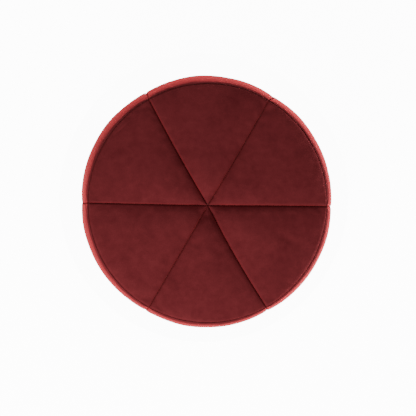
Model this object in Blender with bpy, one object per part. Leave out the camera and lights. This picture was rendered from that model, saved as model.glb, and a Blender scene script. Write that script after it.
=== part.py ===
# Round stuffed pouf: a velvet cover of six top wedges and six side panels on a zipped base, over a liner, wadding
# and a foam core that a cord ties through the middle. Metres, +Z up, resting on z = 0 with its axis on Z.
# The radial seams stand at 0, 60, 120 ... degrees from +X, and the zip runs along X across the base.
from math import asin, cos, exp, hypot, pi, radians, sin

import bmesh
import bpy
from mathutils import Vector

# Cover
PANELS = 6
OVERALL_RADIUS = 0.250  # at the fullest part of the wall
SEAM_RADIUS = 0.230  # of the seams round the top and round the base
TOP_SEAM_HEIGHT = 0.334
BASE_SEAM_HEIGHT = 0.004
ROLL_WIDTH = 0.005  # cloth turns down into a seam over this width
ROLL_DEPTH = 0.002
DOME = 0.0068  # rise of the top from its edge to its middle, before the dimple
CROWN = 0.0092  # swell of a wedge above its own seams
DIMPLE_DEPTH = 0.010
DIMPLE_WIDTH = 0.050
PANEL_PULL = 0.0018  # how much less the wall swells along a side seam
VELVET = 0.002
SEAM_ALLOWANCE = 0.010  # turned in and graded to nothing, so a panel is twice as thick at its edge
WEDGE_TIP = 0.003
TOP_RADII = [0.012, 0.030, 0.055, 0.090, 0.130, 0.170, 0.205]
GAP = 0.0003

# Base and zip
BASE_LIFT_WIDTH = 0.020  # the base turns up to its seam over this width
ZIP_RISE = 0.004  # the base cloth rises towards the zip, which keeps the pull off the floor
ZIP_RAMP = 0.035
ZIP_SLOT = 0.010  # between the two folded edges of the base cloth
TAPE_WIDTH, TAPE_THICKNESS, TAPE_HEIGHT = 0.0134, 0.0006, 0.0080
TAPE_LENGTH = 0.370
CHAIN_GAP = 0.0012  # between the two coils, where the slider's web runs
COIL_WIDTH, COIL_THICKNESS, COIL_HEIGHT = 0.0024, 0.0018, 0.0059
CHAIN_END = 0.160
STOP_LENGTH = 0.004
SLIDER_REST = 0.150
SLIDER_LENGTH, SLIDER_WIDTH, PLATE = 0.012, 0.0086, 0.001
SLIDER_BOTTOM, SLIDER_TOP = 0.0046, 0.0098
WEB = 0.0007
BRIDGE_LENGTH, BRIDGE_WIDTH, BRIDGE_BAR, BRIDGE_BOTTOM = 0.0092, 0.0016, 0.0008, 0.0020
PIVOT_HEIGHT = 0.0037
PULL_LENGTH, PULL_WIDTH, PULL_THICKNESS = 0.025, 0.0062, 0.0011
PULL_EYE_LENGTH, PULL_EYE_WIDTH = 0.0050, 0.0028
PULL_REST = radians(6.5)  # below level, with its tip just off the floor

# Filling
LINER = 0.001
COVER_DEPTH = 0.0027  # from the cover's outer face to the liner, away from the seams
SEAM_DEPTH = 0.0064  # the same along a seam
SEAM_REACH = 0.012
TOP_FILLING_RADIUS = SEAM_RADIUS - 0.005
CORE_RADIUS, CORE_BOTTOM, CORE_TOP = 0.216, 0.024, 0.312
CORE_HOLE = 0.004
POCKET_RADIUS, POCKET_DEPTH = 0.020, 0.010
BASE_LINER_RADIUS = SEAM_RADIUS - 0.012
BASE_LINER_HEIGHT, RIDGE_HEIGHT, RIDGE_HALF_WIDTH, RIDGE_RUN = 0.0048, 0.0102, 0.015, 0.045

# Tie and threads
TIE_RADIUS, KNOT_RADIUS = 0.0015, 0.0033
WASHER_RADIUS, WASHER_HOLE, WASHER_THICKNESS, WASHER_HEIGHT = 0.018, 0.0025, 0.002, 0.0316
THREAD_RADIUS = 0.0004
THREAD_DROP = 0.00095  # of a thread's middle below the unrolled cloth

WALL_MIDDLE = (TOP_SEAM_HEIGHT + BASE_SEAM_HEIGHT) / 2
WALL_HALF = (TOP_SEAM_HEIGHT - BASE_SEAM_HEIGHT) / 2
BULGE = OVERALL_RADIUS - SEAM_RADIUS - GAP / 2
SECTOR = 2 * pi / PANELS

FINISHES = {  # red, green, blue, roughness, metallic
    "velvet": (0.150, 0.016, 0.019, 0.85, 0.0),
    "base_cloth": (0.030, 0.006, 0.008, 0.90, 0.0),
    "sewing_thread": (0.060, 0.008, 0.010, 0.70, 0.0),
    "zip_tape": (0.045, 0.008, 0.010, 0.85, 0.0),
    "zip_coil": (0.070, 0.010, 0.012, 0.45, 0.0),
    "zip_metal": (0.350, 0.340, 0.330, 0.35, 1.0),
    "calico": (0.620, 0.560, 0.450, 0.90, 0.0),
    "wadding": (0.800, 0.800, 0.780, 0.95, 0.0),
    "foam": (0.750, 0.680, 0.420, 0.90, 0.0),
    "tie_cord": (0.450, 0.380, 0.280, 0.80, 0.0),
    "washer": (0.050, 0.050, 0.050, 0.50, 0.0),
}


def clear_scene():
    for thing in list(bpy.data.objects):
        bpy.data.objects.remove(thing, do_unlink=True)


def material(slot):
    finish = bpy.data.materials.get(slot)
    if finish:
        return finish
    finish = bpy.data.materials.new(slot)
    finish.use_nodes = True
    red, green, blue, roughness, metallic = FINISHES[slot]
    shader = finish.node_tree.nodes["Principled BSDF"]
    shader.inputs["Base Color"].default_value = (red, green, blue, 1.0)
    shader.inputs["Roughness"].default_value = roughness
    shader.inputs["Metallic"].default_value = metallic
    return finish


def place(name, data, turn=0.0, location=(0, 0, 0)):
    thing = bpy.data.objects.new(name, data)
    thing.location = location
    thing.rotation_euler.z = turn
    bpy.context.collection.objects.link(thing)
    return thing


def finished_mesh(name, slot, shape, smooth=True):
    bmesh.ops.recalc_face_normals(shape, faces=shape.faces)
    data = bpy.data.meshes.new(name)
    shape.to_mesh(data)
    shape.free()
    data.materials.append(material(slot))
    if smooth:
        data.shade_smooth()
        data.set_sharp_from_angle(angle=radians(40))
    return data


def layer(name, slot, outer, inner, wraps=False):
    # A closed solid between two grids of points. One that wraps joins its last column to its first.
    shape = bmesh.new()
    grids = [[[shape.verts.new(point) for point in row] for row in grid] for grid in (outer, inner)]
    rows, columns = len(outer), len(outer[0])
    for grid in grids:
        for row, below in zip(grid, grid[1:]):
            for i in range(columns if wraps else columns - 1):
                j = (i + 1) % columns
                shape.faces.new((row[i], row[j], below[j], below[i]))
    for end in (0, rows - 1):
        for i in range(columns if wraps else columns - 1):
            j = (i + 1) % columns
            shape.faces.new((grids[0][end][i], grids[0][end][j], grids[1][end][j], grids[1][end][i]))
    if not wraps:
        for end in (0, columns - 1):
            for k in range(rows - 1):
                shape.faces.new((grids[0][k][end], grids[0][k + 1][end], grids[1][k + 1][end], grids[1][k][end]))
    return finished_mesh(name, slot, shape)


def box(name, slot, low, high):
    shape = bmesh.new()
    bmesh.ops.create_cube(shape, size=1.0)
    low, high = Vector(low), Vector(high)
    bmesh.ops.scale(shape, vec=high - low, verts=shape.verts)
    bmesh.ops.translate(shape, vec=(low + high) / 2, verts=shape.verts)
    return finished_mesh(name, slot, shape, smooth=False)


def turned(name, slot, profile, steps):
    # A ring or a rod: a closed outline of (radius, height) spun about Z.
    shape = bmesh.new()
    corners = [shape.verts.new((radius, 0, height)) for radius, height in profile]
    outline = [shape.edges.new(pair) for pair in zip(corners, corners[1:] + corners[:1])]
    bmesh.ops.spin(
        shape, geom=corners + outline, axis=(0, 0, 1), cent=(0, 0, 0), angle=2 * pi, steps=steps, use_duplicate=False
    )
    bmesh.ops.remove_doubles(shape, verts=shape.verts, dist=0.00001)
    return finished_mesh(name, slot, shape)


def thread(name, points, closed=False, turn=0.0):
    run = bpy.data.curves.new(name, "CURVE")
    run.dimensions = "3D"
    run.bevel_depth = THREAD_RADIUS
    run.bevel_resolution = 0
    run.use_fill_caps = True
    line = run.splines.new("POLY")
    line.points.add(len(points) - 1)
    line.use_cyclic_u = closed
    for point, where in zip(line.points, points):
        point.co = (*where, 1.0)
    run.materials.append(material("sewing_thread"))
    return place(name, run, turn)


def polar(radius, angle, height):
    return Vector((radius * cos(angle), radius * sin(angle), height))


def from_seam(angle):
    # The angle to the nearest radial seam.
    part = angle % SECTOR
    return min(part, SECTOR - part)


def fading(distance, reach):
    # 1 at a seam, 0 at reach and beyond.
    return max(0.0, 1.0 - distance / reach)


def panel_angles(radius):
    # Across one sector: beside the seam, into its roll, at the roll's end, and then evenly to the middle.
    insets = ((GAP / 2, 0.1), (0.0016, 0.35), (ROLL_WIDTH, 0.65))
    edge = [asin(min(inset / radius, sin(SECTOR / 2) * share)) for inset, share in insets]
    half = edge + [edge[-1] + (SECTOR / 2 - edge[-1]) * step / 3 for step in (1, 2)]
    return half + [SECTOR / 2] + [SECTOR - angle for angle in reversed(half)]


def round_angles(skipped):
    # All the way round, at each panel's own angles without the first few beside each seam.
    kept = panel_angles(SEAM_RADIUS)[skipped:-skipped]
    return [k * SECTOR + angle for k in range(PANELS) for angle in kept]


def seam_height(radius):
    # Of the top's cloth along a radial seam, before it rolls down into the seam.
    share = min(radius / SEAM_RADIUS, 1.0)
    dimple = DIMPLE_DEPTH * exp(-((radius / DIMPLE_WIDTH) ** 2))
    return TOP_SEAM_HEIGHT + ROLL_DEPTH + DOME * (1 - share**2) - dimple


def swell_height(radius, angle):
    share = min(radius / SEAM_RADIUS, 1.0)
    across = sin(from_seam(angle) * PANELS / 2) ** 0.8
    along = sin(pi * share**0.85) ** 0.8 if share < 1 else 0.0
    return seam_height(radius) + CROWN * across * along


def seam_distance(radius, angle):
    return radius * sin(from_seam(angle))


def top_height(radius, angle):
    nearest = min(seam_distance(radius, angle), max(SEAM_RADIUS - radius, 0.0))
    return swell_height(radius, angle) - ROLL_DEPTH * fading(nearest, ROLL_WIDTH) ** 2


def depth_to_liner(distance):
    return COVER_DEPTH + (SEAM_DEPTH - COVER_DEPTH) * fading(distance, SEAM_REACH)


def wall_point(tilt, angle, depth=0.0, rolled=True, least=0.0):
    # tilt runs from a right angle at the top seam to minus that at the base seam. depth is inwards, square to the wall,
    # and no point comes nearer the axis than least.
    pull = PANEL_PULL * (1 - sin(from_seam(angle) * PANELS / 2))
    roll = ROLL_DEPTH * fading(seam_distance(SEAM_RADIUS, angle), ROLL_WIDTH) ** 2 if rolled else 0.0
    swell = BULGE * cos(tilt) - (pull + roll) * min(1.0, 3 * cos(tilt))
    normal = Vector((cos(tilt) / BULGE, sin(tilt) / WALL_HALF)).normalized()
    radius = SEAM_RADIUS + GAP / 2 + swell - normal.x * depth
    return polar(max(radius, least), angle, WALL_MIDDLE + WALL_HALF * sin(tilt) - normal.y * depth)


def base_height(x, y):
    # Of the base cloth's outer face: flat on the floor, up to the zip in the middle and up to its seam at the edge.
    ramp = ZIP_RISE * fading(abs(y), ZIP_RAMP) * min(1.0, fading(abs(x), SEAM_RADIUS) * 5)
    lift = max(0.0, hypot(x, y) - SEAM_RADIUS + BASE_LIFT_WIDTH) / BASE_LIFT_WIDTH
    return max(ramp, BASE_SEAM_HEIGHT * lift**2)


def slot_edge(angle):
    # Where a base half's straight edge lies from the X axis: open along the zip, closed by a seam past its ends.
    return ZIP_SLOT / 2 if radians(35) < angle < radians(145) else GAP / 2


def make_top_wedges():
    radii = [WEDGE_TIP] + TOP_RADII + [SEAM_RADIUS - inset for inset in (ROLL_WIDTH, 0.0016, GAP / 2)]
    upper, lower = [], []
    for radius in radii:
        row = [polar(radius, angle, top_height(radius, angle)) for angle in panel_angles(radius)]
        upper.append(row)
        lower.append([])
        for point, angle in zip(row, panel_angles(radius)):
            edge = min(seam_distance(radius, angle), SEAM_RADIUS - radius)
            thickness = VELVET * (1 + fading(edge, SEAM_ALLOWANCE))
            lower[-1].append(point - Vector((0, 0, thickness)))
    wedge = layer("top_wedge", "velvet", upper, lower)
    for k in range(PANELS):
        place(f"top_wedge_{k + 1}", wedge, k * SECTOR)


def make_side_panels():
    tilts = [radians(tilt) for tilt in (90, 85, 75, 58, 36, 12, -12, -36, -58, -75, -85, -90)]
    outer, inner = [], []
    for tilt in tilts:
        angles = panel_angles(SEAM_RADIUS)
        outer.append([wall_point(tilt, angle) for angle in angles])
        to_rim = WALL_HALF * (1 - abs(sin(tilt))) + BULGE * cos(tilt)
        edges = [min(seam_distance(SEAM_RADIUS, angle), to_rim) for angle in angles]
        depths = [VELVET * (1 + fading(edge, SEAM_ALLOWANCE)) for edge in edges]
        least = SEAM_RADIUS + GAP / 2
        inner.append([wall_point(tilt, angle, depth, least=least) for angle, depth in zip(angles, depths)])
    panel = layer("side_panel", "velvet", outer, inner)
    for k in range(PANELS):
        place(f"side_panel_{k + 1}", panel, k * SECTOR)


def base_row(share, stations, radius, inner_edge):
    # Points at one share of the way from the straight edge to the rim, for a half disc on the +Y side.
    row = []
    for angle in stations:
        x = radius * cos(angle)
        start = inner_edge(angle)
        row.append((x, start + (radius * sin(angle) - start) * share))
    return row


def make_base_halves():
    stations = [angle for angle in round_angles(2) if angle < pi]
    lower, upper = [], []
    for share in (0.0, 0.06, 0.15, 0.40, 0.65, 0.85, 0.95, 1.0):
        row = base_row(share, stations, SEAM_RADIUS - GAP / 2, slot_edge)
        lower.append([Vector((x, y, base_height(x, y))) for x, y in row])
        upper.append([])
        for point, angle in zip(lower[-1], stations):
            edge = min(point.y - slot_edge(angle), SEAM_RADIUS - hypot(point.x, point.y))
            thickness = VELVET * (1 + fading(max(edge, 0.0), SEAM_ALLOWANCE))
            upper[-1].append(point + Vector((0, 0, thickness)))
    half = layer("base_half", "base_cloth", lower, upper)
    place("base_half_back", half)
    place("base_half_front", half, pi)


def make_zip_chain():
    inner = CHAIN_GAP / 2
    tape = box(
        "zip_tape",
        "zip_tape",
        (-TAPE_LENGTH / 2, inner, TAPE_HEIGHT),
        (TAPE_LENGTH / 2, inner + TAPE_WIDTH, TAPE_HEIGHT + TAPE_THICKNESS),
    )
    coil_top = COIL_HEIGHT + COIL_THICKNESS
    coil = box(
        "zip_coil", "zip_coil", (-CHAIN_END, inner, COIL_HEIGHT), (CHAIN_END, inner + COIL_WIDTH, coil_top)
    )
    for side, turn in (("back", 0.0), ("front", pi)):
        place(f"zip_tape_{side}", tape, turn)
        place(f"zip_coil_{side}", coil, turn)
    start = CHAIN_END + GAP
    stop = box(
        "zip_top_stop",
        "zip_metal",
        (start, inner, COIL_HEIGHT - 0.0002),
        (start + STOP_LENGTH, inner + COIL_WIDTH, coil_top),
    )
    for side, mirrored in (("back", 1), ("front", -1)):
        clip = place(f"zip_top_stop_{side}", stop.copy())
        clip.data.transform(((1, 0, 0, 0), (0, mirrored, 0, 0), (0, 0, 1, 0), (0, 0, 0, 1)))
        if mirrored < 0:
            clip.data.flip_normals()
    across = inner + COIL_WIDTH
    bridge = box(
        "zip_bottom_stop",
        "zip_metal",
        (-start - STOP_LENGTH, -across, COIL_HEIGHT - 0.0002),
        (-start, across, coil_top),
    )
    place("zip_bottom_stop", bridge)


def extruded(name, slot, outline, axis, start, end):
    # A flat outline in the plane square to axis, drawn from start to end along it.
    shape = bmesh.new()
    other = [i for i in range(3) if i != axis]
    corners = []
    for first, second in outline:
        corner = [0.0, 0.0, 0.0]
        corner[axis], corner[other[0]], corner[other[1]] = start, first, second
        corners.append(shape.verts.new(corner))
    face = shape.faces.new(corners)
    drawn = bmesh.ops.extrude_face_region(shape, geom=[face])["geom"]
    step = [0.0, 0.0, 0.0]
    step[axis] = end - start
    bmesh.ops.translate(shape, vec=step, verts=[item for item in drawn if isinstance(item, bmesh.types.BMVert)])
    return finished_mesh(name, slot, shape, smooth=False)


def hide_cutter(thing):
    thing.hide_render = True
    thing.display_type = "WIRE"


def combine(thing, tool, operation):
    step = thing.modifiers.new(operation.lower(), "BOOLEAN")
    step.operation = operation
    step.solver = "EXACT"
    step.object = tool
    hide_cutter(tool)


def make_slider():
    half, web = SLIDER_WIDTH / 2, WEB / 2
    low, high = SLIDER_BOTTOM, SLIDER_TOP
    section = [
        (-half, low), (half, low), (half, low + PLATE), (web, low + PLATE), (web, high - PLATE), (half, high - PLATE),
        (half, high), (-half, high), (-half, high - PLATE), (-web, high - PLATE), (-web, low + PLATE),
        (-half, low + PLATE),
    ]
    body = extruded("zip_slider", "zip_metal", section, 0, -SLIDER_LENGTH / 2, SLIDER_LENGTH / 2)
    slider = place("zip_slider", body, location=(SLIDER_REST, 0, 0))
    end, foot = BRIDGE_LENGTH / 2, SLIDER_BOTTOM + PLATE / 2
    inner = end - BRIDGE_BAR
    arch = [
        (-end, foot), (-end, BRIDGE_BOTTOM), (end, BRIDGE_BOTTOM), (end, foot), (inner, foot),
        (inner, BRIDGE_BOTTOM + BRIDGE_BAR), (-inner, BRIDGE_BOTTOM + BRIDGE_BAR), (-inner, foot),
    ]
    bridge = extruded("pull_bridge", "zip_metal", arch, 1, -BRIDGE_WIDTH / 2, BRIDGE_WIDTH / 2)
    tool = place("pull_bridge", bridge)
    tool.parent = slider
    combine(slider, tool, "UNION")
    return slider


def make_pull(slider):
    # A flat tab with an eye whose end bar passes under the slider's bridge. Its origin is on that bar.
    half, thin, bar = PULL_WIDTH / 2, PULL_THICKNESS / 2, PULL_THICKNESS / 2
    taper = half * 0.75
    outline = [
        (bar, -half), (bar, half), (-PULL_LENGTH * 0.30, half), (-PULL_LENGTH * 0.36, taper),
        (-PULL_LENGTH + 0.004, half), (-PULL_LENGTH + 0.001, half * 0.8), (-PULL_LENGTH, half * 0.4),
        (-PULL_LENGTH, -half * 0.4), (-PULL_LENGTH + 0.001, -half * 0.8), (-PULL_LENGTH + 0.004, -half),
        (-PULL_LENGTH * 0.36, -taper), (-PULL_LENGTH * 0.30, -half),
    ]
    tab = extruded("zip_pull", "zip_metal", outline, 2, -thin, thin)
    pull = place("zip_pull", tab, location=(0, 0, PIVOT_HEIGHT))
    pull.parent = slider
    pull.rotation_euler.y = -PULL_REST
    eye = box(
        "pull_eye",
        "zip_metal",
        (-bar - PULL_EYE_LENGTH, -PULL_EYE_WIDTH / 2, -PULL_THICKNESS),
        (-bar, PULL_EYE_WIDTH / 2, PULL_THICKNESS),
    )
    tool = place("pull_eye", eye)
    tool.parent = pull
    combine(pull, tool, "DIFFERENCE")


def make_threads():
    arm = [(radius, 0, seam_height(radius) - THREAD_DROP) for radius in TOP_RADII + [SEAM_RADIUS - ROLL_WIDTH]]
    across = [(-x, y, z) for x, y, z in reversed(arm)] + arm
    thread("top_thread_across", across)
    for k in (1, 2, 4, 5):
        thread(f"top_thread_{60 * k}", arm, turn=k * SECTOR)
    rim = [polar(SEAM_RADIUS, angle, TOP_SEAM_HEIGHT + 0.00075) for angle in round_angles(2)]
    thread("top_rim_thread", rim, closed=True)
    foot = [polar(SEAM_RADIUS, angle, BASE_SEAM_HEIGHT - 0.00075) for angle in round_angles(2)]
    thread("base_rim_thread", foot, closed=True)
    tilts = (75, 58, 36, 12, -12, -36, -58, -75)
    side = [wall_point(radians(tilt), 0.0, THREAD_DROP, rolled=False) for tilt in tilts]
    for k in range(PANELS):
        thread(f"side_thread_{k + 1}", side, turn=k * SECTOR)
    beside, under = ZIP_SLOT / 2 + 0.004, 0.0021
    row = [(-0.170, beside, under), (0.170, beside, under)]
    thread("zip_stitching_back", row)
    thread("zip_stitching_front", row, turn=pi)


def top_layer_rows(radii, angles, depth):
    rows = []
    for radius in radii:
        rows.append([])
        for angle in angles:
            down = depth_to_liner(min(seam_distance(radius, angle), SEAM_RADIUS - radius)) + depth
            rows[-1].append(polar(radius, angle, swell_height(radius, angle) - down))
    return rows


def filling_angles():
    return [k * SECTOR + angle for k in range(PANELS) for angle in [0.0] + panel_angles(SEAM_RADIUS)[3:-3]]


def make_top_filling():
    angles = filling_angles()
    radii = [CORE_HOLE] + TOP_RADII + [TOP_FILLING_RADIUS]
    liner = layer(
        "liner_top", "calico", top_layer_rows(radii, angles, 0.0), top_layer_rows(radii, angles, LINER), wraps=True
    )
    place("liner_top", liner)
    upper = top_layer_rows(radii, angles, LINER + GAP)
    flat = [[polar(radius, angle, CORE_TOP + GAP) for angle in angles] for radius in radii]
    place("wadding_top", layer("wadding_top", "wadding", upper, flat, wraps=True))


def wall_layer_rows(tilts, angles, depth):
    rows = []
    for tilt in tilts:
        rows.append([])
        for angle in angles:
            down = depth_to_liner(seam_distance(SEAM_RADIUS, angle)) + depth
            rows[-1].append(wall_point(tilt, angle, down, rolled=False))
    return rows


def make_side_filling():
    angles = filling_angles()
    tilts = [radians(tilt) for tilt in (70, 58, 36, 12, -12, -36, -58, -70)]
    outer = wall_layer_rows(tilts, angles, 0.0008)
    inner = wall_layer_rows(tilts, angles, 0.0008 + LINER)
    place("liner_side", layer("liner_side", "calico", outer, inner, wraps=True))
    tilts = [radians(tilt) for tilt in (58, 36, 12, -12, -36, -58)]
    outer = wall_layer_rows(tilts, angles, 0.0008 + LINER + GAP)
    flat = [[polar(CORE_RADIUS + 4 * GAP, angle, point.z) for point, angle in zip(row, angles)] for row in outer]
    place("wadding_side", layer("wadding_side", "wadding", outer, flat, wraps=True))


def ridge_height(y):
    # Of the base liner's under face, which passes over the zip.
    share = fading(max(abs(y) - RIDGE_HALF_WIDTH, 0.0), RIDGE_RUN - RIDGE_HALF_WIDTH)
    return BASE_LINER_HEIGHT + (RIDGE_HEIGHT - BASE_LINER_HEIGHT) * share


def make_base_filling():
    stations = [radians(5 + 17 * step) for step in range(11)]
    shares = (-1, -0.6, -0.2, -0.06, 0.06, 0.2, 0.6, 1)

    def rows(radius, height):
        grid = []
        for share in shares:
            points = [(radius * cos(angle), radius * sin(angle) * share) for angle in stations]
            grid.append([Vector((x, y, height(y))) for x, y in points])
        return grid

    lower = rows(BASE_LINER_RADIUS, ridge_height)
    upper = rows(BASE_LINER_RADIUS, lambda y: ridge_height(y) + LINER)
    place("liner_base", layer("liner_base", "calico", lower, upper))
    lower = rows(BASE_LINER_RADIUS, lambda y: ridge_height(y) + LINER + GAP)
    upper = rows(BASE_LINER_RADIUS, lambda y: CORE_BOTTOM - GAP)
    place("wadding_base", layer("wadding_base", "wadding", lower, upper))


def make_core_and_tie():
    pocket = CORE_BOTTOM + POCKET_DEPTH
    round_off = 0.010
    core = [
        (CORE_RADIUS, CORE_TOP - round_off), (CORE_RADIUS, CORE_BOTTOM + round_off),
        (CORE_RADIUS - round_off, CORE_BOTTOM), (POCKET_RADIUS, CORE_BOTTOM), (POCKET_RADIUS, pocket),
        (CORE_HOLE, pocket), (CORE_HOLE, CORE_TOP), (CORE_RADIUS - round_off, CORE_TOP),
    ]
    place("foam_core", turned("foam_core", "foam", core, 36))
    top = WASHER_HEIGHT + WASHER_THICKNESS
    washer = [
        (WASHER_RADIUS, top), (WASHER_RADIUS, WASHER_HEIGHT), (WASHER_HOLE, WASHER_HEIGHT), (WASHER_HOLE, top)
    ]
    place("tie_washer", turned("tie_washer", "washer", washer, 24))
    low = CORE_BOTTOM + 0.0006
    high = top_height(WEDGE_TIP, 0.0) - 2 * VELVET - 0.0006
    cord = [
        (0.0, high), (KNOT_RADIUS * 0.6, high), (KNOT_RADIUS, high - 0.002), (KNOT_RADIUS * 0.6, high - 0.004),
        (TIE_RADIUS, high - 0.005), (TIE_RADIUS, WASHER_HEIGHT - 0.0005), (KNOT_RADIUS * 0.8, WASHER_HEIGHT - 0.001),
        (KNOT_RADIUS, WASHER_HEIGHT - 0.0035), (KNOT_RADIUS * 0.8, low), (0.0, low),
    ]
    place("centre_tie_cord", turned("centre_tie_cord", "tie_cord", cord, 12))


clear_scene()
make_top_wedges()
make_side_panels()
make_base_halves()
make_zip_chain()
make_pull(make_slider())
make_threads()
make_top_filling()
make_side_filling()
make_base_filling()
make_core_and_tie()
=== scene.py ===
from math import cos, pi, radians, sin

import bpy
import numpy as np
from mathutils import Matrix, Vector, noise


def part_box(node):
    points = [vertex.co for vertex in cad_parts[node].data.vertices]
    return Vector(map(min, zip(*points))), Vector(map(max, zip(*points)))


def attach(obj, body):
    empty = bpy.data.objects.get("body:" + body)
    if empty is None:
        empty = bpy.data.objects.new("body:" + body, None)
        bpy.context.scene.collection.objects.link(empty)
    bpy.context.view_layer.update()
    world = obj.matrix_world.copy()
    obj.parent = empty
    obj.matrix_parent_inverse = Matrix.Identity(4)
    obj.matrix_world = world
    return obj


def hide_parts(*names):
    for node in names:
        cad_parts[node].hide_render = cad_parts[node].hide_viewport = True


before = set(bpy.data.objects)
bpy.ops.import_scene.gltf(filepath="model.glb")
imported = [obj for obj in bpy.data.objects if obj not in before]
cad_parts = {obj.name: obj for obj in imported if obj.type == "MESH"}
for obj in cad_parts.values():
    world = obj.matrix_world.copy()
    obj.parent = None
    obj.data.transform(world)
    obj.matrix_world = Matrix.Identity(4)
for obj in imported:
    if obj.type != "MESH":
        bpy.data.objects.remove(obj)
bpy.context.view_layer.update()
print("frame loaded,", len(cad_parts), "nodes")

threadHalf = 0.0004  # of the plain threads in the frame
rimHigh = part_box("top_rim_thread")[1]
wallLow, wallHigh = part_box("side_panel_2")
tapeLow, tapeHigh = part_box("zip_tape_back")
coilLow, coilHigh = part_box("zip_coil_back")
sliderLow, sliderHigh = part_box("zip_slider")

pouf = {
    "seamRadius": rimHigh.y - threadHalf,
    "wallRadius": wallHigh.y,
    "topSeam": wallHigh.z,
    "baseSeam": wallLow.z,
    "gap": 0.0003,  # between one piece and the next
    "seamTurns": (-1.4, 59.3, 119.4, 179.6, 240.5, 299.5),  # of the top seams at the rim, in degrees
    "wallTurns": (-2.1, 57.7, 118.9, 180.4, 240.2, 299.0),  # of the side seams at mid height
    "meeting": (0.0003, -0.0040),  # where the top seams meet
}


def only(*things):
    if bpy.context.object and bpy.context.object.mode != "OBJECT":
        bpy.ops.object.mode_set(mode="OBJECT")
    bpy.ops.object.select_all(action="DESELECT")
    for thing in things:
        thing.select_set(True)
    if things:
        bpy.context.view_layer.objects.active = things[0]


def pointsOf(thing, kind="co"):
    flat = np.empty(len(thing.data.vertices) * 3, np.float32)
    thing.data.vertices.foreach_get(kind, flat)
    return flat.reshape(-1, 3).astype(float)


def movePoints(thing, spots):
    thing.data.vertices.foreach_set("co", np.asarray(spots, np.float32).ravel())
    thing.data.update()


def writeValue(thing, name, values):
    kept = thing.data.attributes.get(name) or thing.data.attributes.new(name, "FLOAT", "POINT")
    kept.data.foreach_set("value", np.asarray(values, np.float32))


def readValue(thing, name):
    values = np.empty(len(thing.data.vertices), np.float32)
    thing.data.attributes[name].data.foreach_get("value", values)
    return values.astype(float)


def apply(thing, kind, **settings):
    only(thing)
    step = thing.modifiers.new(kind.lower(), kind)
    for name, value in settings.items():
        setattr(step, name, value)
    bpy.ops.object.modifier_apply(modifier=step.name)


def subdivide(thing, kind="CATMULL_CLARK"):
    apply(thing, "SUBSURF", levels=1, render_levels=1, subdivision_type=kind)


def bevel(thing, width, segments=2, angle=50):
    apply(thing, "BEVEL", width=width, segments=segments, limit_method="ANGLE", angle_limit=radians(angle))


def combine(thing, operation, *tools):
    for tool in tools:
        apply(thing, "BOOLEAN", operation=operation, object=tool)
        bpy.data.objects.remove(tool)


def edit(thing, mode="FACE"):
    only(thing)
    bpy.ops.object.mode_set(mode="EDIT")
    bpy.ops.mesh.select_mode(type=mode)
    bpy.ops.mesh.select_all(action="DESELECT")


def selectFaces(thing, wanted):
    # wanted looks at a face's middle and its normal
    bpy.ops.object.mode_set(mode="OBJECT")
    for face in thing.data.polygons:
        face.select = bool(wanted(face.center, face.normal))
    bpy.ops.object.mode_set(mode="EDIT")


def selectAll():
    bpy.ops.mesh.select_all(action="SELECT")


def extrude(*shift):
    bpy.ops.mesh.extrude_region_move(TRANSFORM_OT_translate={"value": shift})


def done():
    bpy.ops.object.mode_set(mode="OBJECT")


def settle(thing):
    # place, turn and scale go into the mesh
    only(thing)
    bpy.ops.object.transform_apply(location=True, rotation=True, scale=True)


def smooth(thing, angle=None):
    only(thing)
    if angle is None:
        bpy.ops.object.shade_smooth()
    else:
        bpy.ops.object.shade_smooth_by_angle(angle=radians(angle))


def dress(thing, slot, body, *nodes):
    thing.data.materials.clear()
    thing.data.materials.append(finishes[slot])
    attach(thing, body)
    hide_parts(*nodes)
    return thing


def rough(spots, size, seed):
    # smooth noise from about -1 to 1, with lumps of this size; each seed looks at another part of it
    shift = Vector((seed * 7.31, seed * 3.17, seed * 5.93))
    return np.array([noise.noise(Vector(spot) / size + shift) for spot in spots])


def eased(share):
    # 0 to 1 with no corner at either end
    share = np.clip(share, 0, 1)
    return share * share * (3 - 2 * share)


def bell(distance, width):
    # 1 at no distance, and down to almost nothing at twice the width
    return np.exp(-((distance / width) ** 2))


allRound = (1.0, 1.0, 1.0)  # a grain that isn't drawn out any way


def newTree(name, inputs, outputs):
    tree = bpy.data.node_groups.new(name, "ShaderNodeTree")
    for label, value in inputs.items():
        kind = "NodeSocketFloat" if isinstance(value, float) else "NodeSocketVector"
        tree.interface.new_socket(name=label, in_out="INPUT", socket_type=kind).default_value = value
    for label in outputs:
        tree.interface.new_socket(name=label, in_out="OUTPUT", socket_type="NodeSocketFloat")
    return tree, tree.nodes.new("NodeGroupInput").outputs, tree.nodes.new("NodeGroupOutput").inputs


def node(tree, kind, links=None, **settings):
    # links gives a socket either a plain value or another node's output
    made = tree.nodes.new("ShaderNode" + kind)
    for name, value in settings.items():
        setattr(made, name, value)
    for label, value in (links or {}).items():
        if isinstance(value, bpy.types.NodeSocket):
            tree.links.new(value, made.inputs[label])
        else:
            made.inputs[label].default_value = value
    return made


def calc(tree, operation, first, second=0.0, third=0.0):
    return node(tree, "Math", {0: first, 1: second, 2: third}, operation=operation).outputs[0]


def ranged(tree, value, low, high, start=0.0, end=1.0):
    # start to end becomes low to high
    return node(tree, "MapRange", {"Value": value, 1: start, 2: end, 3: low, 4: high}).outputs[0]


mottleLook = {
    "broad": {"Detail": 3.0, "Distortion": 0.6},
    "small": {"Detail": 2.0, "Distortion": 0.3},
    "broadShare": 0.55,
}


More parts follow.
